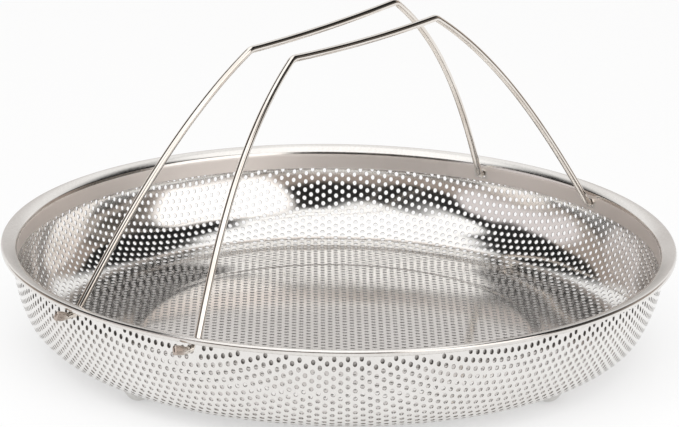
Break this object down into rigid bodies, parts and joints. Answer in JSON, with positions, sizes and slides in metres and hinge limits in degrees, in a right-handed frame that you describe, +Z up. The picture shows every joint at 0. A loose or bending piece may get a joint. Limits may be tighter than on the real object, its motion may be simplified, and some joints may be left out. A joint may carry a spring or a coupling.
{
  "type": "steamer basket",
  "caption": "Shallow perforated steel bowl with a rolled rim, small dome feet and a pair of wire bails that pivot in the rim and fold down.",
  "frame": {"origin": "middle of the basket, on the surface that its feet stand on", "axes": "+Z up, +X along both bail axes, +Y towards the side of the back bail"},
  "size_m": [0.2432, 0.24, 0.1169],
  "materials": {
    "polished_sheet": "polished stainless steel",
    "satin_strip": "satin stainless steel",
    "drawn_wire": "bright drawn wire",
    "pressed_foot": "polished stainless steel"
  },
  "bodies": {
    "basket": {"perforated_bowl": "polished_sheet", "rim_ring": "satin_strip", "foot_1": "pressed_foot", "foot_2": "pressed_foot", "foot_3": "pressed_foot", "foot_4": "pressed_foot"},
    "back_bail": {"back_bail": "drawn_wire"},
    "front_bail": {"front_bail": "drawn_wire"}
  },
  "joints": [
    {"name": "back_bail_swing", "type": "hinge", "parent": "basket", "child": "back_bail", "pos_m": [0, 0.0225, 0.0324], "axis": [1, 0, 0], "range_deg": [-95, 10]},
    {"name": "front_bail_swing", "type": "hinge", "parent": "basket", "child": "front_bail", "pos_m": [0, -0.0303, 0.0324], "axis": [1, 0, 0], "range_deg": [-90, 97]}
  ]
}
